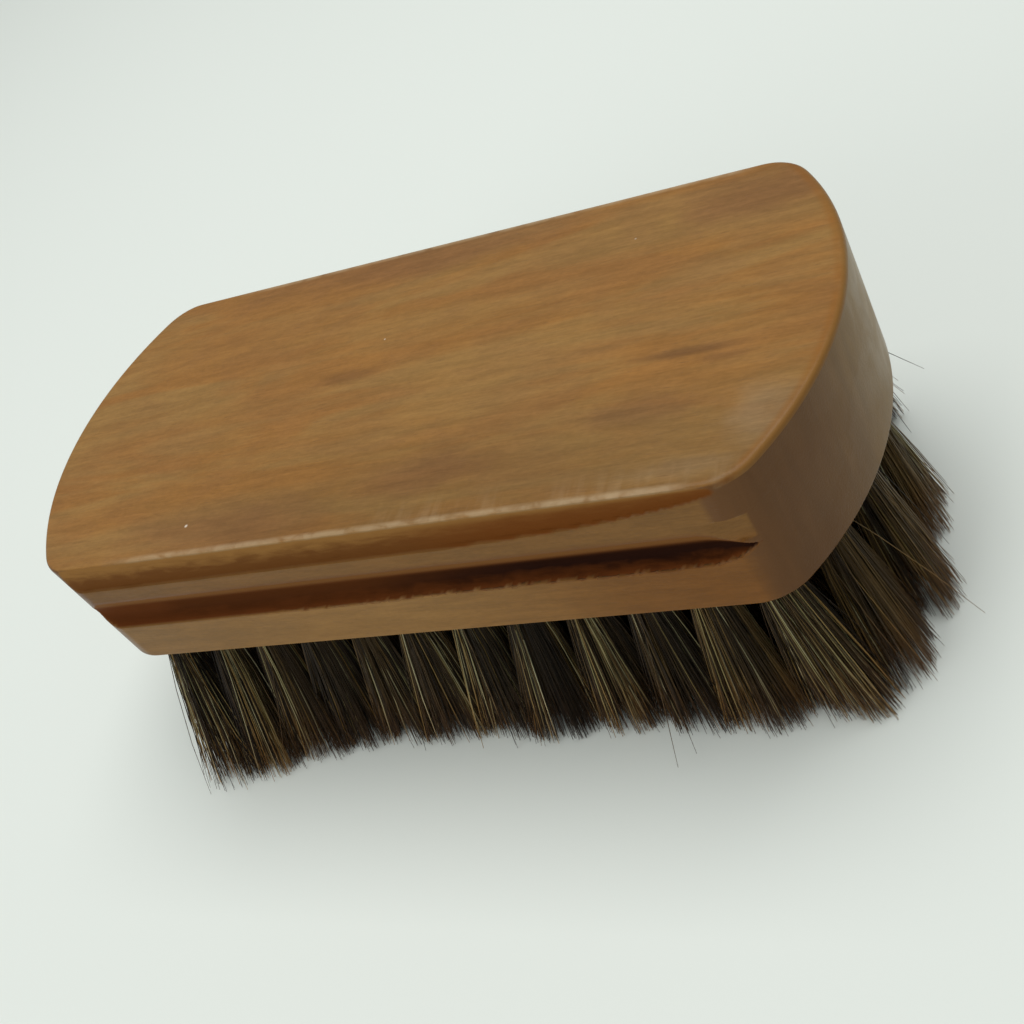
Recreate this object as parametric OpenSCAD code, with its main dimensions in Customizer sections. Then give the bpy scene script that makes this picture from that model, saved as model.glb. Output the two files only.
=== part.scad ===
// Shoe shine brush with hair tufts held by wire anchors in a wooden handle block.
// Millimetres. The brush stands on its hair tips at z = 0, with its length along X.
// The origin is on the standing plane, under the middle of the brush.

/* [Handle block] */
// Length of the block from end to end
block_l = 120; // [105:1:160]
// Width of the block across its flat sides
block_w = 54; // [48:1:64]
// Thickness of the block
block_t = 21; // [18:0.5:28]
// Radius of each rounded end, seen from above
end_r = 43; // [36:1:56]
// Radius that softens the corner between a side and an end, seen from above
corner_r = 7.5; // [5:0.5:12]
// Rounding of the top edge
top_edge_r = 0.8; // [0.4:0.1:1.2]
// Rounding of the bottom edge
bottom_edge_r = 0.6; // [0.3:0.1:1]

/* [Finger groove] */
// Radius of the groove's hollow
groove_r = 2.6; // [2.2:0.1:3.2]
// Depth of the groove below the flat side
groove_depth = 1.8; // [1:0.1:2.1]
// Height of the groove's middle above the underside of the block
groove_rise = 10.2; // [6:0.2:11]

/* [Thumb cove] */
// Radius of the shallow cove under the top edge
cove_r = 3.2; // [2.6:0.1:4]
// Depth of the cove below the flat side
cove_depth = 0.8; // [0.5:0.1:1.2]
// Distance of the cove's middle below the top face
cove_drop = 1.7; // [1.4:0.1:2.4]

/* [Tuft bores] */
// Diameter of each bore in the underside
bore_d = 4.8; // [4:0.1:5.4]
// Depth of each bore
bore_depth = 9; // [8:0.5:12]
// Wood left between the block's edge and the outer bores
edge_wood = 3.4; // [2.6:0.2:5]
// Number of bores along each long side, corners included
side_tufts = 12; // [10:1:13]
// Number of bores round each end, between the corners
end_tufts = 4; // [3:1:4]

/* [Hair tufts] */
// Free length of the hair, from the underside of the block to the floor
hair_l = 23; // [18:0.5:32]
// Gap between a tuft's plug and its bore, on the radius
plug_gap = 0.05; // [0.02:0.01:0.15]
// Number of thick strands round the middle one of each tuft
outer_strands = 6; // [5:1:6]
// Distance of the outer strands from the middle one where they leave the bore
root_fan = 1.4; // [1.2:0.1:1.5]
// Distance of the outer strands from the middle one at the tips
tip_fan = 3; // [2:0.1:3.2]
// Radius of a strand at its root
strand_root_r = 0.6; // [0.4:0.05:0.7]
// Radius of a strand at its tip
strand_tip_r = 0.4; // [0.25:0.05:0.5]
// Depth of a strand's root inside the plug
strand_root_in = 0.6; // [0.4:0.1:1]
// Outward lean of the tips at the very ends of the block
end_lean = 6; // [0:0.5:8]
// Outward lean of the tips at the long sides of the block
side_lean = 4; // [0:0.5:6]
// Share of the lean that a strand has at half its length
mid_lean = 0.42; // [0.35:0.01:0.5]

/* [Wire anchors] */
// Thickness of the flat wire
anchor_t = 0.35; // [0.25:0.05:0.5]
// Height of the flat wire, along the bore
anchor_h = 1.8; // [1.2:0.1:2.4]
// Length that each end of an anchor bites into the wood
anchor_bite = 0.4; // [0.2:0.05:0.6]
// Folded hair between the anchor and the bottom of the bore
fold_t = 2.2; // [1.5:0.1:3]
// Gap round an anchor in the hair and in the wood
anchor_gap = 0.03; // [0.02:0.01:0.08]

/* [Hidden] */
end_steps = 18;
corner_steps = 9;
edge_steps = 4;
cutter_sides = 64;
bore_sides = 16;
plug_sides = 8;
bore_r = bore_d / 2;
underside_z = hair_l;
top_z = hair_l + block_t;
bore_top_z = underside_z + bore_depth;
anchor_z = bore_top_z - fold_t - anchor_h;

// Centres and angles of the arcs that make the outline
end_x = block_l / 2 - end_r;
corner_y = block_w / 2 - corner_r;
corner_x = end_x + sqrt(pow(end_r - corner_r, 2) - pow(corner_y, 2));
end_angle = atan2(corner_y, corner_x - end_x);

// Roots of the tufts: a ring that follows the outline and three inner rows
ring_inset = edge_wood + bore_r;
side_y = block_w / 2 - ring_inset;
pitch = 2 * corner_x / (side_tufts - 1);
ring_end_r = end_r - ring_inset;
end_span = 2 * atan2(side_y, corner_x - end_x);

function side_x(i) = -corner_x + i * pitch;
function end_turn(i) = end_span * ((i + 1) / (end_tufts + 1) - 0.5);
function end_root(i) = [end_x + ring_end_r * cos(end_turn(i)), ring_end_r * sin(end_turn(i))];

front_roots = [for (i = [0:side_tufts - 1]) [side_x(i), -side_y]];
right_roots = [for (i = [0:end_tufts - 1]) end_root(i)];
back_roots = [for (p = front_roots) [p[0], side_y]];
left_roots = [for (p = right_roots) [-p[0], p[1]]];
middle_roots = [for (p = front_roots) [p[0], 0]];
inner_front_roots = [for (i = [0:side_tufts - 2]) [side_x(i + 0.5), -side_y / 2]];
inner_back_roots = [for (p = inner_front_roots) [p[0], side_y / 2]];
all_roots = concat(
    front_roots, right_roots, back_roots, left_roots,
    inner_front_roots, middle_roots, inner_back_roots
);

function numbered(name, i) = str(name, i < 9 ? "_0" : "_", i + 1);

// Points of an arc, without its first point when first is 1
function arc(x, y, r, a0, a1, steps, first = 0) =
    [for (i = [first:steps]) let (a = a0 + (a1 - a0) * i / steps) [x + r * cos(a), y + r * sin(a)]];

// The block's outline seen from above, moved inwards by inset
function outline(inset) = concat(
    arc(end_x, 0, end_r - inset, -end_angle, end_angle, end_steps, 1),
    arc(corner_x, corner_y, corner_r - inset, end_angle, 90, corner_steps, 1),
    arc(-corner_x, corner_y, corner_r - inset, 90, 180 - end_angle, corner_steps),
    arc(-end_x, 0, end_r - inset, 180 - end_angle, 180 + end_angle, end_steps, 1),
    arc(-corner_x, -corner_y, corner_r - inset, 180 + end_angle, 270, corner_steps, 1),
    arc(corner_x, -corner_y, corner_r - inset, 270, 360 - end_angle, corner_steps)
);

// A solid through rings of points that all have the same count, lowest ring first
module ringed_solid(rings) {
    n = len(rings[0]);
    last = len(rings) - 1;
    bottom = [for (i = [1:n - 2]) [0, i, i + 1]];
    top = [for (i = [1:n - 2]) [last * n, last * n + i + 1, last * n + i]];
    walls = [
        for (k = [0:last - 1], i = [0:n - 1])
            let (a = k * n + i, b = k * n + (i + 1) % n)
                each [[a, a + n, b + n], [a, b + n, b]]
    ];
    polyhedron(points = [for (r = rings) each r], faces = concat(bottom, walls, top));
}

// The outline at height z, moved inwards by inset
function outline_ring(inset, z) = [for (p = outline(inset)) [p[0], p[1], z]];

module block_body() {
    low = [
        for (i = [0:edge_steps]) let (a = 90 * i / edge_steps)
            outline_ring(bottom_edge_r * (1 - sin(a)), underside_z + bottom_edge_r * (1 - cos(a)))
    ];
    high = [
        for (i = [0:edge_steps]) let (a = 90 * i / edge_steps)
            outline_ring(top_edge_r * (1 - cos(a)), top_z - top_edge_r * (1 - sin(a)))
    ];
    ringed_solid(concat(low, high));
}

// A round cutter that runs along one flat side, sunk by depth at height z
module side_cutter(side, r, depth, z) {
    translate([0, side * (block_w / 2 + r - depth), z])
        rotate([0, 90, 0])
            cylinder(h = block_l, r = r, center = true, $fn = cutter_sides);
}

// A bore with the slot that the anchor's ends bite into
module bore_cut() {
    translate([0, 0, underside_z - 1])
        cylinder(h = bore_depth + 1, r = bore_r, $fn = bore_sides);
    anchor_slot(anchor_gap);
}

// The space of one anchor with a gap on its sides, its ends and its lower edge
module anchor_slot(gap) {
    translate([-anchor_t / 2 - gap, -bore_r - anchor_bite - gap, anchor_z - gap])
        cube([anchor_t + 2 * gap, bore_d + 2 * (anchor_bite + gap), anchor_h + gap]);
}

module handle_block() {
    color("#8f6b3f")
        difference() {
            block_body();
            for (side = [-1, 1]) {
                side_cutter(side, groove_r, groove_depth, underside_z + groove_rise);
                side_cutter(side, cove_r, cove_depth, top_z - cove_drop);
            }
            for (p = all_roots)
                translate(p)
                    bore_cut();
        }
}

// Shift of a tuft's tips away from its root, more towards the edges of the block
function lean(root) = [
    end_lean * root[0] / (block_l / 2),
    side_lean * root[1] / (block_w / 2)
];

// Three corners of a strand round a point, turned so that one corner faces out
function strand_ring(middle, z, r, turn) =
    [for (a = [0, 120, 240]) [middle[0] + r * cos(turn + a), middle[1] + r * sin(turn + a), z]];

// One strand from inside the plug to its flat tip on the standing plane. The fans are
// its distances from the tuft's middle at the root and at the tip.
module strand(root, turn, root_fan, tip_fan) {
    out = [cos(turn), sin(turn)];
    tip = lean(root) + tip_fan * out;
    mid = lean(root) * mid_lean + (root_fan + (tip_fan - root_fan) * mid_lean) * out;
    ringed_solid([
        strand_ring(tip, 0, strand_tip_r, turn),
        strand_ring(mid, hair_l / 2, (strand_root_r + strand_tip_r) / 2, turn),
        strand_ring(root_fan * out, underside_z + strand_root_in, strand_root_r, turn)
    ]);
}

// One tuft: the folded plug that fills its bore, and the strands that hang from it. The
// plug's corners line up with corners of the bore, so it stays clear of the bore's wall.
module tuft(root) {
    color("#2a211b")
        translate(root) {
            difference() {
                translate([0, 0, underside_z])
                    cylinder(h = bore_depth, r = bore_r - plug_gap, $fn = plug_sides);
                anchor_slot(anchor_gap);
            }
            strand(root, 0, 0, 0);
            for (i = [0:outer_strands - 1])
                strand(root, 360 * i / outer_strands, root_fan, tip_fan);
        }
}

// One flat wire anchor, across its bore and against the fold of the hair
module anchor(root) {
    color("#9a9c9e")
        translate(root)
            anchor_slot(0);
}

module tufts(roots) {
    for (p = roots)
        tuft(p);
}

module anchors(roots) {
    for (p = roots)
        anchor(p);
}

handle_block();
for (i = [0:side_tufts - 1]) {
    tuft(front_roots[i]);
    tuft(back_roots[i]);
}
for (i = [0:end_tufts - 1]) {
    tuft(right_roots[i]);
    tuft(left_roots[i]);
}
tufts(inner_front_roots);  // inner_front_tufts
tufts(middle_roots);  // inner_middle_tufts
tufts(inner_back_roots);  // inner_back_tufts
anchors(front_roots);  // front_anchors
anchors(right_roots);  // right_anchors
anchors(back_roots);  // back_anchors
anchors(left_roots);  // left_anchors
anchors(inner_front_roots);  // inner_front_anchors
anchors(middle_roots);  // inner_middle_anchors
anchors(inner_back_roots);  // inner_back_anchors
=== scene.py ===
import math

import bmesh
import bpy
import numpy as np
from mathutils import Matrix, Vector, noise


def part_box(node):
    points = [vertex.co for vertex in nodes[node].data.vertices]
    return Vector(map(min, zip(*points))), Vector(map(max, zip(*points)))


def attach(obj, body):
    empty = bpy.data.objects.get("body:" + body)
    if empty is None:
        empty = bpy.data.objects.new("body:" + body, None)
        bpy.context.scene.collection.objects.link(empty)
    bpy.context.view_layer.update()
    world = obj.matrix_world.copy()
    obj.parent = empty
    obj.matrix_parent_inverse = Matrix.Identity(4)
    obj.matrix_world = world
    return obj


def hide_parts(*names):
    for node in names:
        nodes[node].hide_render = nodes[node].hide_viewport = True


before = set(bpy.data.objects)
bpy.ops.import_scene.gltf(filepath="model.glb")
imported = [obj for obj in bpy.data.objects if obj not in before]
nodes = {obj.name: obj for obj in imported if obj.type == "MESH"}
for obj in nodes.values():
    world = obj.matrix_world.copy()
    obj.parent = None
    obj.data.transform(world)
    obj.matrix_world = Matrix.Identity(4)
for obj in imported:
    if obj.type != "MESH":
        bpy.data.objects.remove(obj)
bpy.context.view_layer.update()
mm = 0.001

scene = bpy.context.scene
scene.view_settings.view_transform = "Standard"

# the camera looks down on the near right corner, as in the photograph; the turn is in degrees
shot = {
    "place": (0.10096, -0.12022, 0.14440),
    "turn": (41.14, 26.31, 14.99),
    "lens": 48.77,
    "shiftY": 0.078,
}


def placeCamera():
    data = bpy.data.cameras.new("shotCamera")
    data.lens = shot["lens"]
    data.sensor_width = 36
    data.shift_y = shot["shiftY"]
    data.clip_start = 0.005
    camera = bpy.data.objects.new("shotCamera", data)
    camera.location = shot["place"]
    camera.rotation_euler = [math.radians(a) for a in shot["turn"]]
    scene.collection.objects.link(camera)
    scene.camera = camera


# small helpers for the node trees

def newMaterial(name):
    material = bpy.data.materials.new(name)
    material.use_nodes = True
    tree = material.node_tree
    shader = tree.nodes["Principled BSDF"]
    return material, tree, shader


def plug(tree, socket, value):
    if isinstance(value, bpy.types.NodeSocket):
        tree.links.new(value, socket)
    else:
        socket.default_value = value


def addNode(tree, kind, settings=None, **inputs):
    node = tree.nodes.new(kind)
    for key, value in (settings or {}).items():
        setattr(node, key, value)
    for key, value in inputs.items():
        plug(tree, node.inputs[key.replace("_", " ")], value)
    return node


def mathNode(tree, operation, a, b=0.0):
    node = addNode(tree, "ShaderNodeMath", {"operation": operation})
    plug(tree, node.inputs[0], a)
    plug(tree, node.inputs[1], b)
    return node.outputs[0]


def mixColour(tree, factor, first, second, blend="MIX"):
    node = addNode(tree, "ShaderNodeMix", {"data_type": "RGBA", "blend_type": blend})
    for name, value in (("Factor_Float", factor), ("A_Color", first), ("B_Color", second)):
        plug(tree, next(s for s in node.inputs if s.identifier == name), value)
    return next(s for s in node.outputs if s.identifier == "Result_Color")


def softStep(tree, value, start, end):
    node = addNode(tree, "ShaderNodeMapRange", {"interpolation_type": "SMOOTHSTEP"}, Value=value)
    node.inputs["From Min"].default_value = start
    node.inputs["From Max"].default_value = end
    return node.outputs["Result"]


def ramp(tree, value, stops):
    node = tree.nodes.new("ShaderNodeValToRGB")
    elements = node.color_ramp.elements
    while len(elements) < len(stops):
        elements.new(0.5)
    for element, (place, colour) in zip(elements, stops):
        element.position = place
        element.color = colour if len(colour) == 4 else (*colour, 1)
    tree.links.new(value, node.inputs["Fac"])
    return node.outputs["Color"]


def grey(level):
    return (level, level, level, 1)


# shader groups

def groupTree(name, ins, out):
    tree = bpy.data.node_groups.new(name, "ShaderNodeTree")
    tree.interface.new_socket(name="Place", in_out="INPUT", socket_type="NodeSocketVector")
    for label, value in ins.items():
        socket = tree.interface.new_socket(name=label, in_out="INPUT", socket_type="NodeSocketFloat")
        socket.default_value = value
    tree.interface.new_socket(name=out, in_out="OUTPUT", socket_type="NodeSocketFloat")
    return tree, tree.nodes.new("NodeGroupInput"), tree.nodes.new("NodeGroupOutput")


def makeStretchedNoise():
    # noise drawn out along X, with its length and width given in millimetres
    sizes = {"Length": 20.0, "Width": 1.0, "Detail": 3.0, "Distortion": 0.0, "Low": 0.35, "High": 0.65}
    tree, goesIn, goesOut = groupTree("stretchedNoise", sizes, "Mask")
    lengthScale = mathNode(tree, "DIVIDE", 1000.0, goesIn.outputs["Length"])
    widthScale = mathNode(tree, "DIVIDE", 1000.0, goesIn.outputs["Width"])
    scale = addNode(tree, "ShaderNodeCombineXYZ", X=lengthScale, Y=widthScale, Z=widthScale)
    stretched = addNode(tree, "ShaderNodeVectorMath", {"operation": "MULTIPLY"})
    plug(tree, stretched.inputs[0], goesIn.outputs["Place"])
    plug(tree, stretched.inputs[1], scale.outputs[0])
    texture = addNode(
        tree, "ShaderNodeTexNoise", Vector=stretched.outputs[0], Scale=1.0,
        Detail=goesIn.outputs["Detail"], Distortion=goesIn.outputs["Distortion"],
    )
    spread = addNode(
        tree, "ShaderNodeMapRange", {"interpolation_type": "SMOOTHSTEP"}, Value=texture.outputs["Fac"],
        From_Min=goesIn.outputs["Low"], From_Max=goesIn.outputs["High"],
    )
    plug(tree, goesOut.inputs["Mask"], spread.outputs["Result"])
    return tree


def makeSoftPatch():
    # 1 near the middle of an ellipse on the XY plane, fading to 0 at its reach, in millimetres
    sizes = {"Middle X": 0.0, "Middle Y": 0.0, "Reach X": 10.0, "Reach Y": 10.0}
    tree, goesIn, goesOut = groupTree("softPatch", sizes, "Mask")
    parts = addNode(tree, "ShaderNodeSeparateXYZ", Vector=goesIn.outputs["Place"])
    squares = []
    for axis in "XY":
        inMm = mathNode(tree, "MULTIPLY", parts.outputs[axis], 1000.0)
        away = mathNode(tree, "SUBTRACT", inMm, goesIn.outputs["Middle " + axis])
        share = mathNode(tree, "DIVIDE", away, goesIn.outputs["Reach " + axis])
        squares.append(mathNode(tree, "MULTIPLY", share, share))
    distance = mathNode(tree, "SQRT", mathNode(tree, "ADD", *squares))
    plug(tree, goesOut.inputs["Mask"], softStep(tree, distance, 1.0, 0.2))
    return tree


stretchedNoise = makeStretchedNoise()
softPatch = makeSoftPatch()


def groupMask(tree, group, place, **values):
    node = addNode(tree, "ShaderNodeGroup", {"node_tree": group}, Place=place, **values)
    return node.outputs["Mask"]


def noiseMask(tree, place, length, width, detail, distortion, low, high):
    return groupMask(
        tree, stretchedNoise, place, Length=length, Width=width, Detail=detail,
        Distortion=distortion, Low=low, High=high,
    )


def attributeMask(tree, name):
    return addNode(tree, "ShaderNodeAttribute", {"attribute_name": name}).outputs["Fac"]


wood = {
    "olive": (0.276, 0.152, 0.048),
    "orange": (0.280, 0.132, 0.036),
    "purple": (0.198, 0.094, 0.037),
    "smudge": (0.120, 0.056, 0.022),
    # a painted sheen on the top near the right corner
    "haze": (0.400, 0.300, 0.180),
    "sideUpper": (0.206, 0.096, 0.024),
    "sideLower": (0.285, 0.146, 0.041),
    "sideRight": (0.192, 0.073, 0.012),
    "endGrain": (0.138, 0.060, 0.019),
    # end grain made paler towards the back, a painted sheen
    "endGrainPale": (0.290, 0.185, 0.068),
    "rimEdge": (0.250, 0.125, 0.034),
    "rimBand": (0.240, 0.092, 0.014),
    "coveLight": (0.290, 0.138, 0.036),
    "coveDark": (0.150, 0.055, 0.011),
    "coveRed": (0.165, 0.048, 0.006),
    # the groove's colours: stain with painted shade in its depth, and a painted light on its upper wall
    "grooveTop": (0.205, 0.086, 0.022),
    "grooveLit": (0.125, 0.034, 0.006),
    "grooveLeft": (0.082, 0.022, 0.003),
    "grooveBlack": (0.021, 0.005, 0.0015),
    # pale wear, which on the crest also stands for a painted glint
    "worn": (0.46, 0.34, 0.20),
    "speck": (0.75, 0.66, 0.55),
    "grainTilt": -1.0,
    "wanderScale": 90.0,
    "wanderReach": (20 * mm, 7 * mm, 0.0),
    "roughness": (0.29, 0.41),
    "cutRoughness": 0.75,
    "specular": 0.06,
    "coatTop": 0.10,
    "coatSide": 0.13,
    "coatRoughness": 0.24,
    "bumpStrength": 0.25,
    "bumpDepth": 0.12 * mm,
    "fibreHeight": 0.4,
    "poreDepth": 0.8,
}
# noises: length and width in mm, detail, distortion, and the levels where they start and are full
woodNoises = {
    "figure": (50, 8, 4, 1.2, 0.36, 0.64),
    "streaks": (26, 1.7, 4, 0.9, 0.32, 0.68),
    "fibres": (2.2, 0.28, 5, 0.3, 0.30, 0.70),
    "fineGrain": (0.8, 0.45, 2, 0.0, 0.30, 0.70),
    "mottle": (6.5, 1.3, 7, 0.4, 0.32, 0.68),
    "clouds": (13, 7, 3, 0.6, 0.36, 0.66),
    "pores": (1.8, 0.15, 1, 0.0, 0.67, 0.75),
    "endStreaks": (14, 2.0, 3, 0.4, 0.25, 0.80),
    "rimBreaks": (5, 5, 3, 0.3, 0.28, 0.52),
    "chatter": (12, 1.5, 2, 0.3, 0.42, 0.72),
    "waves": (4, 1.2, 4, 0.5, 0.30, 0.70),
    "wornBreaks": (3.0, 2.0, 4, 0.4, 0.20, 0.62),
}
# the levels that a mask's 0 and 1 multiply the colour by
woodShades = {
    "nearEdge": (1.0, 0.80),
    "leftSide": (1.0, 0.80),
    "streaks": (0.945, 1.05),
    "fibres": (0.95, 1.05),
    "fineGrain": (0.965, 1.035),
    "mottle": (0.93, 1.06),
    "endStreaks": (0.92, 1.08),
}
# how strongly each mark covers the colour under it, and how far the waves shift two soft edges
woodCovers = {
    "clouds": 0.24,
    "flank": 0.9,
    "pores": 0.30,
    "endGrain": 0.95,
    "rimBand": 0.45,
    "rimEdge": 0.6,
    "chatter": 0.14,
    "coveRed": 0.8,
    "coveWaves": 0.26,
    "overLip": 0.70,
    "grooveLeft": 0.8,
    "grooveWaves": 0.10,
    "grooveTop": 0.85,
    "crest": 0.54,
}
# where soft edges start and are full: an axis and two places along it in mm
woodFades = {
    "nearSide": ("Y", -5, -23),
    "nearRight": ("X", -44, 0),
    "sideUpper": ("Z", 30, 37),
    "sideLow": ("Z", 37, 33),
    "sideRight": ("X", 0, 46),
    "sideLeft": ("X", -10, -46),
    "endPale": ("Y", -24, 16),
    "coveRight": ("X", -4, 26),
    "grooveRight": ("X", -10, 22),
    "grooveLeft": ("X", -34, -46),
}
# the same for shares: of the rim's width, of the drop in the cove and of the rise in the groove
woodSteps = {
    "rimBand": (0.22, 0.10),
    "rimEdge": (0.10, 0.04),
    "coveDark": (0.26, 0.88),
    "belowCrest": (0.05, 0.38),
    "overLip": (1.30, 1.0),
    "inLip": (0.5, 0.9),
    "fromBelow": (0.04, 0.30),
    "fromAbove": (0.84, 0.38),
    "grooveTop": (0.46, 0.94),
}
# soft patches on the top, of figure, marks and a painted sheen: colour, middle x, middle y, reach x,
# reach y, strength
figurePatches = [
    ("purple", 50, 21, 17, 8, 0.75),
    ("purple", -4, 25, 46, 6, 0.65),
    ("purple", -22, -23, 24, 7, 0.60),
    ("purple", 9, -19, 11, 5, 0.50),
    ("purple", 38, -14, 10, 4, 0.45),
    ("olive", 15, -3, 24, 7, 0.85),
    ("olive", -4, 11, 26, 4, 0.60),
    ("orange", 46, -10, 15, 5, 0.70),
    ("orange", -38, 13, 20, 8, 0.60),
    ("orange", -20, -15.6, 30, 2, 0.80),
    # a painted sheen near the right corner
    ("haze", 52, -17, 7, 6, 0.30),
    ("haze", 45, -23.5, 7, 2.4, 0.18),
    ("smudge", -9.5, 1.9, 7.5, 1.7, 0.42),
    ("smudge", 42, -5.6, 10, 1.2, 0.60),
    ("smudge", 47, -7.4, 5, 0.9, 0.35),
    ("speck", -27, -21.7, 0.35, 0.35, 0.95),
    ("speck", -5, 8.2, 0.22, 0.22, 0.60),
    ("speck", 31, 17.5, 0.22, 0.22, 0.50),
]
# small marks keep their place, the others wander with the figure
smallMarks = ("smudge", "speck")


def woodColour(key):
    return (*wood[key], 1)


def makeStainedWood():
    material, tree, shader = newMaterial("stainedWood")
    place = addNode(tree, "ShaderNodeTexCoord").outputs["Object"]

    def turned(x, y, z):
        mapping = addNode(tree, "ShaderNodeMapping", Vector=place)
        mapping.inputs["Rotation"].default_value = [math.radians(angle) for angle in (x, y, z)]
        return mapping.outputs["Vector"]

    def moved(operation, first, second):
        node = addNode(tree, "ShaderNodeVectorMath", {"operation": operation})
        plug(tree, node.inputs[0], first)
        plug(tree, node.inputs[1], second)
        return node.outputs[0]

    def noiseOf(kind, vector):
        return noiseMask(tree, vector, *woodNoises[kind])

    def tint(colour, mask, strength, target):
        factor = mathNode(tree, "MULTIPLY", mask, strength)
        if isinstance(target, str):
            target = woodColour(target)
        return mixColour(tree, factor, colour, target)

    def between(mask, levels):
        return ramp(tree, mask, [(stop, grey(level)) for stop, level in enumerate(levels)])

    def shade(colour, mask, kind):
        return mixColour(tree, 1.0, colour, between(mask, woodShades[kind]), "MULTIPLY")

    def fade(kind):
        axis, start, end = woodFades[kind]
        return softStep(tree, axes[axis], start * mm, end * mm)

    def step(kind, value):
        return softStep(tree, value, *woodSteps[kind])

    def both(first, second):
        return mathNode(tree, "MULTIPLY", first, second)

    grain = turned(0, 0, wood["grainTilt"])
    # the figure wanders, so the place it is read from is shifted by a slow noise
    wander = addNode(tree, "ShaderNodeTexNoise", Vector=place, Scale=wood["wanderScale"], Detail=3.0)
    centred = moved("SUBTRACT", wander.outputs["Color"], (0.5, 0.5, 0.5))
    shifted = moved("ADD", place, moved("MULTIPLY", centred, wood["wanderReach"]))
    axes = addNode(tree, "ShaderNodeSeparateXYZ", Vector=shifted).outputs

    fibres = noiseOf("fibres", grain)
    clouds = noiseOf("clouds", place)
    pores = noiseOf("pores", grain)
    colour = mixColour(tree, noiseOf("figure", grain), woodColour("olive"), woodColour("orange"))
    for kind, middleX, middleY, reachX, reachY, strength in figurePatches:
        spot = place if kind in smallMarks else shifted
        mask = groupMask(
            tree, softPatch, spot, Middle_X=middleX, Middle_Y=middleY, Reach_X=reachX, Reach_Y=reachY,
        )
        colour = tint(colour, mask, strength, kind)
    colour = tint(colour, clouds, woodCovers["clouds"], "purple")
    colour = shade(colour, both(fade("nearSide"), fade("nearRight")), "nearEdge")

    flank = attributeMask(tree, "flank")
    sideColour = mixColour(tree, fade("sideUpper"), woodColour("sideLower"), woodColour("sideUpper"))
    sideColour = tint(sideColour, both(fade("sideRight"), fade("sideLow")), 1.0, "sideRight")
    sideColour = shade(sideColour, fade("sideLeft"), "leftSide")
    colour = tint(colour, flank, woodCovers["flank"], sideColour)
    colour = shade(colour, noiseOf("streaks", grain), "streaks")
    colour = shade(colour, fibres, "fibres")
    colour = shade(colour, noiseOf("fineGrain", place), "fineGrain")
    colour = shade(colour, noiseOf("mottle", grain), "mottle")
    colour = tint(colour, pores, woodCovers["pores"], "smudge")

    # the end grain grows paler towards the back: a painted sheen
    endColour = mixColour(tree, fade("endPale"), woodColour("endGrain"), woodColour("endGrainPale"))
    endColour = shade(endColour, noiseOf("endStreaks", turned(0, 90, 0)), "endStreaks")
    colour = tint(colour, attributeMask(tree, "endGrain"), woodCovers["endGrain"], endColour)

    rim = attributeMask(tree, "rim")
    rimBand = both(step("rimBand", rim), noiseOf("rimBreaks", place))
    colour = tint(colour, rimBand, woodCovers["rimBand"], "rimBand")
    colour = tint(colour, step("rimEdge", rim), woodCovers["rimEdge"], "rimEdge")

    # marks of the cutter stand across the grain beside the near crest
    chatter = both(noiseOf("chatter", turned(0, 0, 90)), attributeMask(tree, "nearCrest"))
    colour = tint(colour, chatter, woodCovers["chatter"], "worn")

    # the cove darkens downwards
    coveMask = attributeMask(tree, "cove")
    coveDrop = attributeMask(tree, "coveDrop")
    waves = noiseOf("waves", place)
    wavyDrop = mathNode(tree, "ADD", coveDrop, both(waves, woodCovers["coveWaves"]))
    darkness = step("coveDark", wavyDrop)
    coveColour = mixColour(tree, darkness, woodColour("coveLight"), woodColour("coveDark"))
    redder = both(fade("coveRight"), step("belowCrest", coveDrop))
    coveColour = tint(coveColour, redder, woodCovers["coveRed"], "coveRed")
    colour = tint(colour, coveMask, 1.0, coveColour)

    # stain and painted shade gather in the groove, most of all in the middle of its right half
    grooveMask = attributeMask(tree, "groove")
    rise = attributeMask(tree, "grooveRise")
    # a painted soft shadow over the groove's upper lip
    overLip = both(step("overLip", rise), step("inLip", rise))
    colour = tint(colour, overLip, woodCovers["overLip"], "grooveLit")
    deep = mixColour(tree, fade("grooveRight"), woodColour("grooveLeft"), woodColour("grooveBlack"))
    deep = tint(deep, fade("grooveLeft"), woodCovers["grooveLeft"], "grooveLit")
    wavyRise = mathNode(tree, "ADD", rise, both(waves, woodCovers["grooveWaves"]))
    inMiddle = both(step("fromBelow", wavyRise), step("fromAbove", rise))
    grooveColour = mixColour(tree, inMiddle, woodColour("grooveLit"), deep)
    # a painted light on the groove's upper wall, as on a rounded lip
    grooveColour = tint(grooveColour, step("grooveTop", rise), woodCovers["grooveTop"], "grooveTop")
    colour = tint(colour, grooveMask, 1.0, grooveColour)

    # the pale crest is wear with a painted glint
    crest = both(attributeMask(tree, "crest"), noiseOf("wornBreaks", place))
    colour = tint(colour, crest, woodCovers["crest"], "worn")
    plug(tree, shader.inputs["Base Color"], colour)

    cutAway = mathNode(tree, "MAXIMUM", grooveMask, coveMask)
    rough = mixColour(tree, cutAway, between(clouds, wood["roughness"]), grey(wood["cutRoughness"]))
    plug(tree, shader.inputs["Roughness"], rough)
    shader.inputs["Specular IOR Level"].default_value = wood["specular"]
    coat = mixColour(tree, flank, grey(wood["coatTop"]), grey(wood["coatSide"]))
    coat = mixColour(tree, cutAway, coat, grey(0.0))
    plug(tree, shader.inputs["Coat Weight"], coat)
    shader.inputs["Coat Roughness"].default_value = wood["coatRoughness"]

    height = mathNode(tree, "ADD", both(fibres, wood["fibreHeight"]), clouds)
    height = mathNode(tree, "SUBTRACT", height, both(pores, wood["poreDepth"]))
    bump = addNode(
        tree, "ShaderNodeBump", Height=height, Strength=wood["bumpStrength"], Distance=wood["bumpDepth"]
    )
    plug(tree, shader.inputs["Normal"], bump.outputs["Normal"])
    return material


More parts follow.
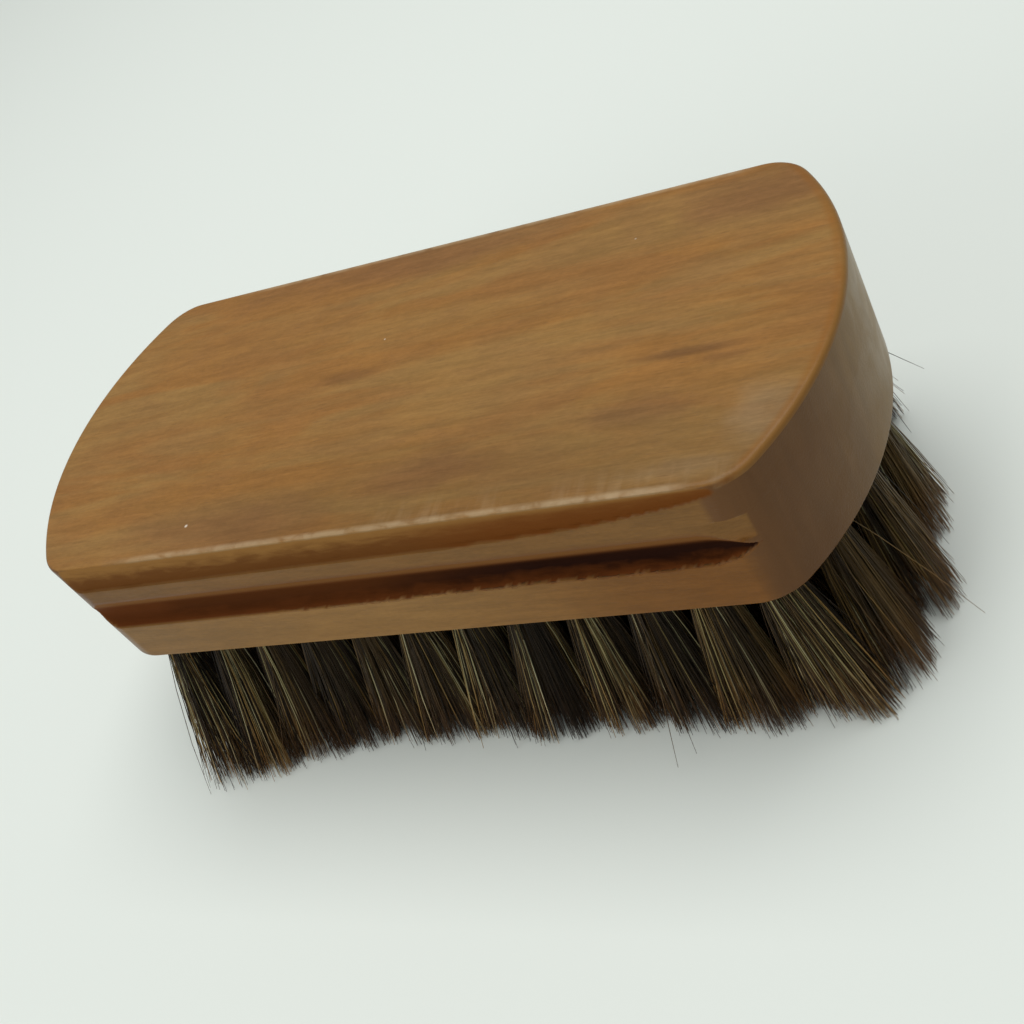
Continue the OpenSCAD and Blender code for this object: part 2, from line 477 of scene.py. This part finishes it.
# the colours of the strands from dark to fair, and what shades them on the way to their worn tips
hairLook = {
    "tones": [
        (0.00, (0.012, 0.007, 0.003)),
        (0.25, (0.031, 0.018, 0.007)),
        (0.45, (0.074, 0.044, 0.017)),
        (0.60, (0.125, 0.076, 0.026)),
        (0.72, (0.270, 0.160, 0.045)),
        (0.84, (0.260, 0.220, 0.095)),
        (1.00, (0.470, 0.430, 0.260)),
    ],
    "tipShades": [(0.74, (1, 1, 1)), (1.0, (1.42, 1.05, 0.92))],
    "roughness": 0.42,
    "specular": 0.22,
}


def makeHorsehair():
    # the strands' map holds their tone across and their length from fold to tip upwards
    material, tree, shader = newMaterial("horsehair")
    strand = addNode(tree, "ShaderNodeUVMap", {"uv_map": "OFBake"})
    parts = addNode(tree, "ShaderNodeSeparateXYZ", Vector=strand.outputs["UV"])
    tone = ramp(tree, parts.outputs["X"], hairLook["tones"])
    tipShade = ramp(tree, parts.outputs["Y"], hairLook["tipShades"])
    plug(tree, shader.inputs["Base Color"], mixColour(tree, 1.0, tone, tipShade, "MULTIPLY"))
    shader.inputs["Roughness"].default_value = hairLook["roughness"]
    shader.inputs["Specular IOR Level"].default_value = hairLook["specular"]
    return material


# zinc blooms over the wire's colour, and drawing lines over its roughness
wire = {
    "bloom": (1.2, 0.8, 3, 0.5, 0.35, 0.65),
    "bloomColours": [(0, (0.42, 0.43, 0.45)), (1, (0.62, 0.63, 0.64))],
    "drawn": (0.2, 3.0, 2, 0.0, 0.3, 0.7),
    "drawnRoughness": [(0, grey(0.28)), (1, grey(0.46))],
}


def makeFlatWire():
    material, tree, shader = newMaterial("flatWire")
    place = addNode(tree, "ShaderNodeTexCoord").outputs["Object"]
    bloom = noiseMask(tree, place, *wire["bloom"])
    drawn = noiseMask(tree, place, *wire["drawn"])
    plug(tree, shader.inputs["Base Color"], ramp(tree, bloom, wire["bloomColours"]))
    plug(tree, shader.inputs["Roughness"], ramp(tree, drawn, wire["drawnRoughness"]))
    shader.inputs["Metallic"].default_value = 1.0
    return material


# the handle block

block = {
    "endRadius": 43 * mm,
    "cornerRadius": 7.5 * mm,
    "planed": 0.10 * mm,
    "topEdge": 0.75 * mm,
    "bottomEdge": 0.6 * mm,
    "endSteps": 34,
    "cornerSteps": 22,
    "sideSteps": 104,
    "rowHeight": 0.26 * mm,
    "rimRings": (0.25, 0.35, 0.5, 0.7, 1.0, 1.4),
    "boreRadius": 2.4 * mm,
    "boreDepth": 9 * mm,
    "boreSegments": 20,
    "edgeSegments": 5,
    "sharpAngle": 40,
}
# at the right end the groove gets shallower, and a short flat stands above it
groove = {
    "halfHeight": 2.5 * mm,
    "depth": 1.8 * mm,
    "rise": 10.2 * mm,
    "tear": 0.26 * mm,
    "lowerLeft": 0.35 * mm,
    "narrowFrom": 43.8 * mm,
    "narrowTo": 50.5 * mm,
    "narrowest": 0.05,
    "softLip": 1.38,
    "deepest": 0.32,
    "shallower": 0.95 * mm,
    "flatFrom": 45.4 * mm,
    "flatTo": 50.4 * mm,
    "flatSlope": 0.16,
    "flatLow": 11.2 * mm,
    "flatHigh": 15.2 * mm,
    "narrowCurve": 1.3,
    "tearLengths": (1.5 * mm, 0.5 * mm),
    "tornAlong": (-40 * mm, 10 * mm),
    "lowerAlong": (12 * mm, -8 * mm),
    "maskDepths": (0.02 * mm, 0.14 * mm),
    "uncutDepths": (0.05 * mm, 0.5 * mm),
}
# the cove narrows towards the right end and runs out at the corner
cove = {
    "height": 5.1 * mm,
    "crestDepth": 0.30 * mm,
    "deepest": 0.60 * mm,
    "deepestAt": 0.75,
    "footFrom": 0.92,
    "fadeFrom": 5 * mm,
    "fadeTo": 50 * mm,
    "lowest": 0.1 * mm,
    "edgeWave": 0.07 * mm,
    "edgeWaveLength": 5 * mm,
    "crestWave": 0.05 * mm,
    "crestWaveLengths": (2.2 * mm, 0.8 * mm),
    "maskDepths": (0.02 * mm, 0.12 * mm),
}
# limits of the masks on the block: parts of a normal, and places and widths in mm
marks = {
    "sideNormal": (0.5, 0.8),
    "endNormal": 0.04,
    "endNormalFull": (0.20, 0.30),
    "endSofter": (9, 14),
    "uprightNormal": 0.7,
    "cornerAlong": (46.0, 47.2),
    "rimWidth": 8,
    "rimNarrows": (20, -30),
    "crestLeft": (-42, -30),
    "crestRight": (47, 42),
    "crestInside": (1.25, 0.65),
    "crestBelow": (0.55, 0.15),
    "chatterInside": (5.5, 0.6),
    "chatterAlong": (-2, 12),
}
# points of one wire anchor are no further apart than this along X and Y
wireReach = (1 * mm, 6 * mm)

anchorNodes = sorted(name for name in nodes if name.endswith("_anchors"))
tuftNodes = sorted(name for name in nodes if "_tuft" in name)


def anchorSpots(name):
    # the middle of each wire anchor in a node, which is where a tuft's bore is
    groups = []
    for v in nodes[name].data.vertices:
        apart = [(abs(g[0].x - v.co.x), abs(g[0].y - v.co.y)) for g in groups]
        near = [g for g, (x, y) in zip(groups, apart) if x < wireReach[0] and y < wireReach[1]]
        if near:
            near[0].append(v.co)
        else:
            groups.append([v.co])
    return [sum(group, Vector()) / len(group) for group in groups]


def points(geometry):
    return [g for g in geometry if isinstance(g, bmesh.types.BMVert)]


def outlineEdges(bm, low, high):
    # one quarter from the tip of the right end to the middle of the back side, then mirrored
    endX = high.x - block["endRadius"]
    cornerY = high.y + block["planed"] - block["cornerRadius"]
    reach = block["endRadius"] - block["cornerRadius"]
    cornerX = endX + math.sqrt(reach ** 2 - cornerY ** 2)
    endTurn = math.atan2(cornerY, cornerX - endX)
    start = bm.verts.new((high.x, 0, low.z))
    endArc = bmesh.ops.spin(
        bm, geom=[start], cent=(endX, 0, low.z), axis=(0, 0, 1), angle=endTurn,
        steps=block["endSteps"], use_duplicate=False,
    )
    cornerArc = bmesh.ops.spin(
        bm, geom=points(endArc["geom_last"]), cent=(cornerX, cornerY, low.z), axis=(0, 0, 1),
        angle=math.pi / 2 - endTurn, steps=block["cornerSteps"], use_duplicate=False,
    )
    side = bmesh.ops.extrude_vert_indiv(bm, verts=points(cornerArc["geom_last"]))
    side["verts"][0].co.x = 0
    bmesh.ops.subdivide_edges(bm, edges=side["edges"], cuts=block["sideSteps"] - 1)
    for axis in "XY":
        bmesh.ops.mirror(
            bm, geom=bm.verts[:] + bm.edges[:], matrix=Matrix.Identity(4), merge_dist=1e-6, axis=axis
        )
    return bm.edges[:]


def levelEdges(bm, z):
    return [e for e in bm.edges if all(abs(v.co.z - z) < 1e-7 for v in e.verts)]


def smooth(value, start, end):
    share = np.clip((value - start) / (end - start), 0.0, 1.0)
    return share * share * (3 - 2 * share)


def ripple(x, size, seed):
    return noise.noise(Vector((x / size, seed, 0.5)))


def coveCut(x, drop, seed):
    # depth of the cove below the crest, and how far down it the point is
    fade = min(1.0, max(0.0, (x - cove["fadeFrom"]) / (cove["fadeTo"] - cove["fadeFrom"])))
    share = math.sqrt(1 - fade ** 2)
    height = cove["height"] * share + cove["edgeWave"] * ripple(x, cove["edgeWaveLength"], seed)
    if height < cove["lowest"]:
        return 0.0, 1.0
    t = drop / height
    deeper = (cove["deepest"] - cove["crestDepth"]) * smooth(t, 0, cove["deepestAt"])
    longWave, shortWave = cove["crestWaveLengths"]
    wave = cove["crestWave"] * (ripple(x, longWave, seed + 2) + 0.5 * ripple(x, shortWave, seed + 6))
    depth = (cove["crestDepth"] + deeper) * share + wave * share
    return depth * (1 - smooth(t, cove["footFrom"], 1.0)), min(t, 1.0)


def grooveCut(x, z, low, seed):
    # depth of the finger groove, whose lower lip is torn and whose right end runs out to a point
    risen = z - low.z - groove["rise"]
    longTear, shortTear = groove["tearLengths"]
    torn = groove["tear"] * (ripple(x, longTear, seed + 9) + 0.6 * ripple(x, shortTear, seed + 5))
    half = groove["halfHeight"]
    if risen < 0:
        lower = groove["lowerLeft"] * smooth(x, *groove["lowerAlong"])
        half += torn * smooth(x, *groove["tornAlong"]) + lower
    share = min(1.0, max(0.0, (x - groove["narrowFrom"]) / (groove["narrowTo"] - groove["narrowFrom"])))
    half *= 1 - (1 - groove["narrowest"]) * share ** groove["narrowCurve"]
    depth = groove["depth"] - groove["shallower"] * smooth(x, groove["narrowFrom"], groove["narrowTo"])
    rise = min(1.5, max(-0.5, 0.5 + risen / (2 * half)))
    # below its deepest line the groove is steep, above it the wall comes out gently to the side
    above = risen / half + groove["deepest"]
    if above < 0:
        return depth * max(-1.0, 1 - (above / (1 - groove["deepest"])) ** 2), rise
    share = above / (groove["softLip"] + groove["deepest"])
    return depth * (1 - smooth(share, 0, 1)) - 1e-6, rise


def cutSides(bm, low, high):
    # the sides are planed flat, then the cove and the groove are cut along them
    names = ("cove", "coveDrop", "groove", "grooveRise")
    layers = {name: bm.verts.layers.float.new(name) for name in names}
    for v in bm.verts:
        x, y, z = v.co
        side = 1 if y > 0 else -1
        seed = 3.7 * side
        planed = min(abs(y), high.y)
        onFlat = low.z + groove["flatLow"] < z < low.z + groove["flatHigh"]
        if onFlat and groove["flatFrom"] < x < groove["flatTo"]:
            planed = min(planed, high.y - groove["flatSlope"] * (x - groove["flatFrom"]))
        coveDepth, drop = coveCut(x, high.z - z, seed)
        coveFace = high.y - coveDepth
        grooveDepth, rise = grooveCut(x, z, low, seed)
        grooveFace = high.y - grooveDepth
        if z < high.z - 1e-6 and drop < 1:
            v[layers["cove"]] = smooth(planed - coveFace, *cove["maskDepths"])
        v[layers["coveDrop"]] = drop
        v[layers["groove"]] = smooth(planed - grooveFace, *groove["maskDepths"])
        # where the groove misses the side, its rise is put out of reach of the stain's colours
        v[layers["grooveRise"]] = rise + 2 * smooth(grooveFace - planed, *groove["uncutDepths"])
        v.co.y = side * min(planed, coveFace, grooveFace)


def markSurface(mesh, low, high):
    # masks that the wood's colours read
    count = len(mesh.vertices)
    place = np.zeros(count * 3, np.float32)
    normal = np.zeros(count * 3, np.float32)
    mesh.vertices.foreach_get("co", place)
    mesh.vertices.foreach_get("normal", normal)
    x, y, z = place.reshape(-1, 3).T / mm
    outX, outY, up = np.abs(normal.reshape(-1, 3).T)
    topZ, sideY = high.z / mm, high.y / mm
    endX = (high.x - block["endRadius"]) / mm
    fromEdge = block["endRadius"] / mm - np.hypot(np.maximum(np.abs(x) - endX, 0), y)
    atTop = z > topZ - block["topEdge"] / mm - 0.01
    inSide = sideY - np.abs(y)
    rimShare = np.clip(fromEdge / marks["rimWidth"] + 0.5 * smooth(x, *marks["rimNarrows"]), 0, 1)
    straight = smooth(x, *marks["crestLeft"]) * smooth(x, *marks["crestRight"])
    onFlat = (x > groove["flatFrom"] / mm) & (x < groove["flatTo"] / mm)
    onFlat &= (z > (low.z + groove["flatLow"]) / mm) & (z < (low.z + groove["flatHigh"]) / mm)
    atCorner = smooth(x, *marks["cornerAlong"]) * (z > (low.z + groove["flatHigh"]) / mm)
    full, softer = marks["endNormalFull"]
    endNormalFull = full + softer * smooth(z, *(topZ - depth for depth in marks["endSofter"]))
    onEnd = np.maximum(smooth(outX, marks["endNormal"], endNormalFull), atCorner)
    onCrest = smooth(inSide, *marks["crestInside"])
    onCrest = onCrest * smooth(z, *(topZ - depth for depth in marks["crestBelow"])) * straight
    chattered = smooth(inSide, *marks["chatterInside"]) * smooth(x, *marks["chatterAlong"])
    masks = {
        "flank": smooth(outY, *marks["sideNormal"]),
        "endGrain": onEnd * (up < marks["uprightNormal"]) * ~onFlat,
        "rim": np.where(atTop & (np.abs(x) > endX), rimShare, 1.0),
        "crest": atTop * onCrest,
        "nearCrest": atTop * chattered * (y < 0),
    }
    for name, values in masks.items():
        mesh.attributes.new(name, "FLOAT", "POINT").data.foreach_set("value", values.astype(np.float32))


def makeBlock():
    low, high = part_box("handle_block")
    bm = bmesh.new()
    rim = outlineEdges(bm, low, high)
    bmesh.ops.edgeloop_fill(bm, edges=rim)
    lifted = bmesh.ops.extrude_face_region(bm, geom=bm.faces[:])
    bmesh.ops.translate(bm, verts=points(lifted["geom"]), vec=(0, 0, high.z - low.z))
    bmesh.ops.recalc_face_normals(bm, faces=bm.faces[:])
    for z, size in ((high.z, block["topEdge"]), (low.z, block["bottomEdge"])):
        bmesh.ops.bevel(
            bm, geom=levelEdges(bm, z), offset=size, offset_type="OFFSET", profile=0.5,
            segments=block["edgeSegments"], affect="EDGES", clamp_overlap=True, material=-1,
        )
    middle = (low.z + high.z) / 2
    uprights = [e for e in bm.edges if (e.verts[0].co.z - middle) * (e.verts[1].co.z - middle) < 0]
    rows = round((high.z - low.z) / block["rowHeight"])
    bmesh.ops.subdivide_edges(bm, edges=uprights, cuts=rows, use_grid_fill=True)

    top = max(bm.faces, key=lambda f: f.calc_center_median().z)
    for width in block["rimRings"]:
        bmesh.ops.inset_region(bm, faces=[top], thickness=width * mm, use_even_offset=True)
    bmesh.ops.triangulate(bm, faces=[top], ngon_method="BEAUTY")
    cutSides(bm, low, high)

    # the underside is filled again round the bores, which are then drawn up into the wood
    bottom = min(bm.faces, key=lambda f: f.calc_center_median().z)
    edges = list(bottom.edges)
    bmesh.ops.delete(bm, geom=[bottom], context="FACES_ONLY")
    mouths = []
    for centre in [spot for name in anchorNodes for spot in anchorSpots(name)]:
        circle = bmesh.ops.create_circle(
            bm, radius=block["boreRadius"], segments=block["boreSegments"],
            matrix=Matrix.Translation((centre.x, centre.y, low.z)),
        )
        # a dictionary keeps each edge once and in order, so the fill is the same on every run
        mouths += dict.fromkeys(e for v in circle["verts"] for e in v.link_edges)
    bmesh.ops.triangle_fill(bm, edges=edges + mouths, use_beauty=True)
    raised = bmesh.ops.extrude_edge_only(bm, edges=mouths)
    bmesh.ops.translate(bm, verts=points(raised["geom"]), vec=(0, 0, block["boreDepth"]))
    ends = [e for e in raised["geom"] if isinstance(e, bmesh.types.BMEdge) and e.is_boundary]
    bmesh.ops.edgeloop_fill(bm, edges=ends)
    bmesh.ops.recalc_face_normals(bm, faces=bm.faces[:])

    mesh = bpy.data.meshes.new("handleBlock")
    bm.to_mesh(mesh)
    bm.free()
    for face in mesh.polygons:
        face.use_smooth = True
    mesh.set_sharp_from_angle(angle=math.radians(block["sharpAngle"]))
    markSurface(mesh, low, high)
    mesh.materials.append(stainedWood)
    piece = bpy.data.objects.new("handleBlock", mesh)
    scene.collection.objects.link(piece)
    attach(piece, "root")
    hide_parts("handle_block")


# the horsehair

hair = {
    "outerStrands": 300,
    "innerStrands": 150,
    "boreRadius": 2.15 * mm,
    "fineRadius": 0.062 * mm,
    "coarseRadius": 0.092 * mm,
    "coarseShare": (0.5, 1.0),
    "tipFrom": 0.9,
    "tipShare": 0.5,
    "wireSpace": 0.30 * mm,
    "openAngle": 1.42,
    "foldHeight": (0.25, 0.65),
    "spread": 1.75,
    "rowSpread": 3.0,
    "clumps": 14,
    "clumpDrift": 0.50 * mm,
    "tipHeight": (0.15 * mm, 0.60 * mm),
    "lowestTip": 0.05 * mm,
    "strays": 0.006,
    "strayAlong": (44 * mm, 50 * mm),
    "strayReach": (1.0, 6.5),
    "strayTurn": 0.40,
    "strayRise": (0.2, 1.0),
    "leanChance": 0.35 * mm,
    "leanCurve": 1.15,
    "farthest": (74 * mm, 37.5 * mm),
    "seed": 41,
}
# the left end is more worn: where that starts and is full, then what the other hair has and what
# the most worn hair adds to it, as a share for the pull and in mm for the rest
wornHair = {
    "along": (-36 * mm, -50 * mm),
    "pull": (0.22, 0.28),
    "scatter": (0.60, 0.70),
    "bend": (0.22, 0.55),
}
# ranges of tone from 0 for dark to 1 for fair, and how many strands are fair
hairTone = {
    "bundle": (0.02, 0.50),
    "tuft": (-0.05, 0.08),
    "scatter": (0.04, 0.10),
    "lightestDark": 0.64,
    "fairBundles": (0.05, 0.48),
    "fairInBundle": 0.32,
    "fairElsewhere": 0.05,
    "fairWorn": 0.17,
    "goldWorn": 0.85,
    "lighter": 0.18,
    "lighterAlong": (5 * mm, 45 * mm),
    "darker": 0.20,
    "darkerAlong": (-12 * mm, -40 * mm),
}
# how far the tips lean from their bores: place along the row, lean along X, lean along Y, in mm
frontLean = [
    (-46.7, 1.9, -10.6), (-38.2, 0.2, -9.2), (-29.7, -1.6, -7.4), (-21.2, -2.2, -5.8), (-8, -2.4, -5.0),
    (5, -2.0, -5.6), (20, 0.0, -5.9), (30, 1.5, -5.6), (40, 3.4, -5.4), (46.7, 5.4, -4.2),
]
rightLean = [(-13.5, 5.6, -5.2), (-4.6, 5.0, -4.2), (4.6, 3.6, -3.6), (13.5, -0.9, -3.4)]
leftLean = [(-13.5, 3.2, -7.2), (-4.6, 2.4, -3.4), (4.6, 0.6, 0.0), (13.5, -1.2, 1.5)]
# the back row leans evenly outwards; past endRow a tuft belongs to an end's own row, all in mm
backLean = 1.4
endRow = 50
sideRow = 21.2
# shares of the free length where a strand has a ring, from its mouth to its tip
ringShares = np.array([0.0, 0.34, 0.68, 1.0])


def leanAt(table, place):
    rows = np.array(table)
    return np.array([np.interp(place, rows[:, 0], rows[:, i]) for i in (1, 2)]) * mm


def tuftLean(root):
    x, y = (c / mm for c in root)
    if x > endRow:
        return leanAt(rightLean, y)
    if x < -endRow:
        return leanAt(leftLean, y)
    back = np.array([backLean * x / endRow, backLean]) * mm
    share = smooth(y, sideRow, -sideRow)
    return leanAt(frontLean, x) * share + back * (1 - share)


def strandTemplate(rings):
    # a three-sided tube with closed ends, whose points come ring by ring
    bm = bmesh.new()
    bmesh.ops.create_cone(bm, cap_ends=True, segments=3, radius1=1, radius2=1, depth=rings - 1)
    uprights = [e for e in bm.edges if e.verts[0].co.z * e.verts[1].co.z < 0]
    bmesh.ops.subdivide_edges(bm, edges=uprights, cuts=rings - 2, use_grid_fill=True)
    bm.verts.sort(key=lambda v: 10 * round(v.co.z * 2) + math.atan2(v.co.y, v.co.x))
    bmesh.ops.recalc_face_normals(bm, faces=bm.faces[:])
    mesh = bpy.data.meshes.new("strand")
    bm.to_mesh(mesh)
    bm.free()
    return mesh


def repeatMesh(template, count, name):
    holder = bpy.data.objects.new(name + "Holder", template)
    scene.collection.objects.link(holder)
    array = holder.modifiers.new("array", "ARRAY")
    array.count = count
    array.use_relative_offset = False
    array.use_constant_offset = False
    shown = holder.evaluated_get(bpy.context.evaluated_depsgraph_get())
    mesh = bpy.data.meshes.new_from_object(shown)
    mesh.name = name
    bpy.data.objects.remove(holder)
    return mesh


def worn(kind, share):
    value, more = wornHair[kind]
    return value + more * share


def halfStrands(root, offsets, rng, warm):
    # free ends from the bore's mouth to the floor
    count = len(offsets)
    lean = tuftLean(root) + rng.normal(0, hair["leanChance"], 2)
    centres = offsets[rng.choice(count, min(hair["clumps"], count), replace=False)]
    nearest = np.argmin(((offsets[:, None] - centres[None]) ** 2).sum(2), 1)
    clumpDrift = rng.normal(0, hair["clumpDrift"], (len(centres), 2))
    # tufts spread more along their row than across it, so neighbours merge
    spread = np.array([hair["rowSpread"], hair["spread"]])
    if abs(root[0]) >= endRow * mm:
        spread = spread[::-1]
    tips = offsets * spread
    tips += worn("pull", warm) * (centres[nearest] * spread - tips) + clumpDrift[nearest]
    tips += rng.normal(0, worn("scatter", warm) * mm, (count, 2))
    tipZ = np.abs(rng.normal(*hair["tipHeight"], count)) + hair["lowestTip"]
    atEnd = smooth(abs(root[0]), *hair["strayAlong"])
    strays = rng.random(count) < hair["strays"] * (0.5 + atEnd) * (1 - warm)
    reach = strays * rng.uniform(*hair["strayReach"], count) * mm
    outwards = np.array(root) / np.linalg.norm(root)
    tips += reach[:, None] * (outwards + rng.normal(0, hair["strayTurn"], (count, 2)))
    tipZ += reach * rng.uniform(*hair["strayRise"], count)
    bend = rng.normal(0, worn("bend", warm) * mm, (count, 2))
    share = ringShares[None, :, None]
    flat = offsets[:, None] * (1 - share) + tips[:, None] * share
    flat = flat + lean * share ** hair["leanCurve"] + bend[:, None] * np.sin(math.pi * share)
    flat += np.array(root)
    flat = np.clip(flat, -np.array(hair["farthest"]), hair["farthest"])
    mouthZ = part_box("handle_block")[0].z
    height = mouthZ + (tipZ[:, None] - mouthZ) * ringShares[None]
    return np.concatenate([flat, height[..., None]], 2), nearest


def strandTones(clumps, rng, warm, lift):
    # dark hair in soft bundles, with fair and grey strands in some bundles of some tufts
    bundles = clumps.max() + 1
    bundleTone = rng.uniform(*hairTone["bundle"], bundles) + rng.uniform(*hairTone["tuft"]) + lift
    fairBundle = rng.random(bundles) < rng.uniform(*hairTone["fairBundles"])
    count = len(clumps)
    chance = np.where(fairBundle[clumps], hairTone["fairInBundle"], hairTone["fairElsewhere"])
    chance = chance * (1 - warm) + hairTone["fairWorn"] * warm
    fair = rng.random(count) < chance
    dark = bundleTone[clumps] + rng.normal(*hairTone["scatter"], count)
    dark = np.clip(dark, 0, hairTone["lightestDark"])
    olive = 0.70 + 0.30 * rng.beta(1.5, 1.9, count)
    gold = 0.66 + 0.34 * rng.beta(1.3, 1.8, count)
    light = np.where(rng.random(count) < warm * hairTone["goldWorn"], gold, olive)
    return np.where(fair, light, dark), fair


def tuftStrands(root, count, rng, wireZ, boreTopZ):
    # a folded strand runs from one tip up past the wire, over it and down to the other tip
    angle = rng.uniform(-hair["openAngle"], hair["openAngle"], (2, count))
    radius = hair["boreRadius"] * np.sqrt(rng.uniform(0.01, 1, (2, count)))
    offsets = np.stack([radius * np.cos(angle), radius * np.sin(angle)], 2)
    offsets[..., 0] = np.maximum(offsets[..., 0], hair["wireSpace"])
    offsets[1, :, 0] *= -1
    warm = float(smooth(root[0], *wornHair["along"]))
    ends, clumps = halfStrands(root, offsets.reshape(-1, 2), rng, warm)
    ends = ends.reshape(2, count, len(ringShares), 3)
    inBore = offsets + np.array(root)
    shoulder = np.concatenate([inBore, np.full((2, count, 1), wireZ)], 2)
    lowFold, higher = hair["foldHeight"]
    apexZ = wireZ + (boreTopZ - wireZ) * (lowFold + higher * radius.mean(0) / hair["boreRadius"])
    apex = np.concatenate([inBore.mean(0), apexZ[:, None]], 1)
    path = np.concatenate(
        [ends[0, :, ::-1], shoulder[0][:, None], apex[:, None], shoulder[1][:, None], ends[1]], 1
    )
    lighter = hairTone["lighter"] * float(smooth(root[0], *hairTone["lighterAlong"]))
    darker = hairTone["darker"] * float(smooth(root[0], *hairTone["darkerAlong"]))
    tones, fair = strandTones(clumps, rng, warm, lighter - darker)
    coarse = fair[:count] * rng.uniform(*hair["coarseShare"], count)
    return path, tones[:count], coarse


def strandMesh(name, paths, tones, coarse):
    # rings of three points are laid round every path
    count, rings = paths.shape[:2]
    mesh = repeatMesh(strandTemplate(rings), count, name)
    along = np.gradient(paths, axis=1)
    along /= np.linalg.norm(along, axis=2, keepdims=True)
    across = np.cross(along, (0, 1, 0))
    across /= np.linalg.norm(across, axis=2, keepdims=True)
    other = np.cross(along, across)
    fromFold = np.abs(np.linspace(-1, 1, rings))
    taper = np.where(fromFold > hair["tipFrom"], hair["tipShare"], 1.0)
    size = hair["fineRadius"] + (hair["coarseRadius"] - hair["fineRadius"]) * coarse
    around = np.array([0, 2, 4]) * math.pi / 3
    ring = (
        across[:, :, None] * np.cos(around)[None, None, :, None]
        + other[:, :, None] * np.sin(around)[None, None, :, None]
    )
    places = paths[:, :, None] + ring * (size[:, None] * taper[None])[..., None, None]
    mesh.vertices.foreach_set("co", places.astype(np.float32).ravel())
    corners = np.zeros(len(mesh.loops), np.int32)
    mesh.loops.foreach_get("vertex_index", corners)
    strandOf = corners // (rings * 3)
    ringOf = corners % (rings * 3) // 3
    # each strand has a narrow strip of the map at its tone, clear of the map's border
    width = 1 / 400
    across = tones[strandOf] * (1 - 2 * width) + (corners % 3) * width
    spot = np.stack([across, 0.01 + 0.98 * fromFold[ringOf]], 1)
    mesh.uv_layers.new(name="OFBake").uv.foreach_set("vector", spot.astype(np.float32).ravel())
    for face in mesh.polygons:
        face.use_smooth = True
    mesh.update()
    mesh.materials.append(horsehair)
    piece = bpy.data.objects.new(name, mesh)
    scene.collection.objects.link(piece)
    return piece


def pieceName(node):
    words = node.split("_")
    return words[0] + "".join(word.capitalize() for word in words[1:])


def tuftRoots(name):
    # numbered tufts run along X at the sides and along Y at the ends, and the rest fill a whole row
    if name.endswith("_tufts"):
        return [tuple(p.xy) for p in anchorSpots(name.replace("_tufts", "_anchors"))]
    side, number = name.split("_tuft_")
    along = 0 if side in ("front", "back") else 1
    spots = sorted(anchorSpots(side + "_anchors"), key=lambda p: p[along])
    return [tuple(spots[int(number) - 1].xy)]


def makeTufts():
    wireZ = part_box("front_anchors")[1].z
    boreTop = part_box("handle_block")[0].z + block["boreDepth"]
    rng = np.random.default_rng(hair["seed"])
    total = 0
    for name in tuftNodes:
        count = hair["innerStrands"] if name.endswith("_tufts") else hair["outerStrands"]
        made = [tuftStrands(root, count, rng, wireZ, boreTop) for root in tuftRoots(name)]
        paths, tones, coarse = (np.concatenate(parts) for parts in zip(*made))
        piece = strandMesh(pieceName(name), paths, tones, coarse)
        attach(piece, "root")
        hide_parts(name)
        total += len(tones)
    print("tufts made with", total, "folded strands")


# floor and light

stage = {
    "floorSize": 2.0,
    "floorColour": (0.757, 0.803, 0.757),
    "floorRoughness": 0.7,
    "floorSpecular": 0.2,
    "skyColour": (0.975, 1.0, 0.97),
    "skyStrength": 0.26,
    "lightsAim": (0, 0, 0.02),
    "keyPower": 7.0,
    "keySize": 0.75,
    "keyPlace": (0.0, 0.17, 0.90),
    "fillPower": 2.4,
    "fillSize": 0.6,
    "fillPlace": (-0.42, -0.72, 0.34),
}


def makeStage():
    bm = bmesh.new()
    bmesh.ops.create_grid(bm, x_segments=1, y_segments=1, size=stage["floorSize"])
    mesh = bpy.data.meshes.new("floor")
    bm.to_mesh(mesh)
    bm.free()
    material, tree, shader = newMaterial("paleFloor")
    shader.inputs["Base Color"].default_value = (*stage["floorColour"], 1)
    shader.inputs["Roughness"].default_value = stage["floorRoughness"]
    shader.inputs["Specular IOR Level"].default_value = stage["floorSpecular"]
    mesh.materials.append(material)
    floor = bpy.data.objects.new("floor", mesh)
    scene.collection.objects.link(floor)

    world = bpy.data.worlds.new("softRoom")
    scene.world = world
    world.use_nodes = True
    tree = world.node_tree
    back = tree.nodes["Background"]
    back.inputs["Color"].default_value = (*stage["skyColour"], 1)
    back.inputs["Strength"].default_value = stage["skyStrength"]
    # past the floor's edge the camera sees a pale backdrop
    backdrop = addNode(tree, "ShaderNodeBackground", Color=(*stage["floorColour"], 1))
    path = addNode(tree, "ShaderNodeLightPath")
    chosen = addNode(tree, "ShaderNodeMixShader", Fac=path.outputs["Is Camera Ray"])
    tree.links.new(back.outputs[0], chosen.inputs[1])
    tree.links.new(backdrop.outputs[0], chosen.inputs[2])
    tree.links.new(chosen.outputs[0], tree.nodes["World Output"].inputs["Surface"])

    for name in ("key", "fill"):
        light = bpy.data.lights.new(name + "Light", "AREA")
        light.shape = "SQUARE"
        light.size = stage[name + "Size"]
        light.energy = stage[name + "Power"]
        lamp = bpy.data.objects.new(name + "Light", light)
        lamp.location = stage[name + "Place"]
        aim = Vector(stage["lightsAim"]) - lamp.location
        lamp.rotation_euler = aim.to_track_quat("-Z", "Y").to_euler()
        scene.collection.objects.link(lamp)


placeCamera()
print("camera placed")
stainedWood = makeStainedWood()
horsehair = makeHorsehair()
flatWire = makeFlatWire()
print("materials made")
makeBlock()
print("block made")
for name in anchorNodes:
    nodes[name].data.materials.clear()
    nodes[name].data.materials.append(flatWire)
print("wire given to", len(anchorNodes), "rows of anchors")
makeTufts()
makeStage()
print("floor and lights made")
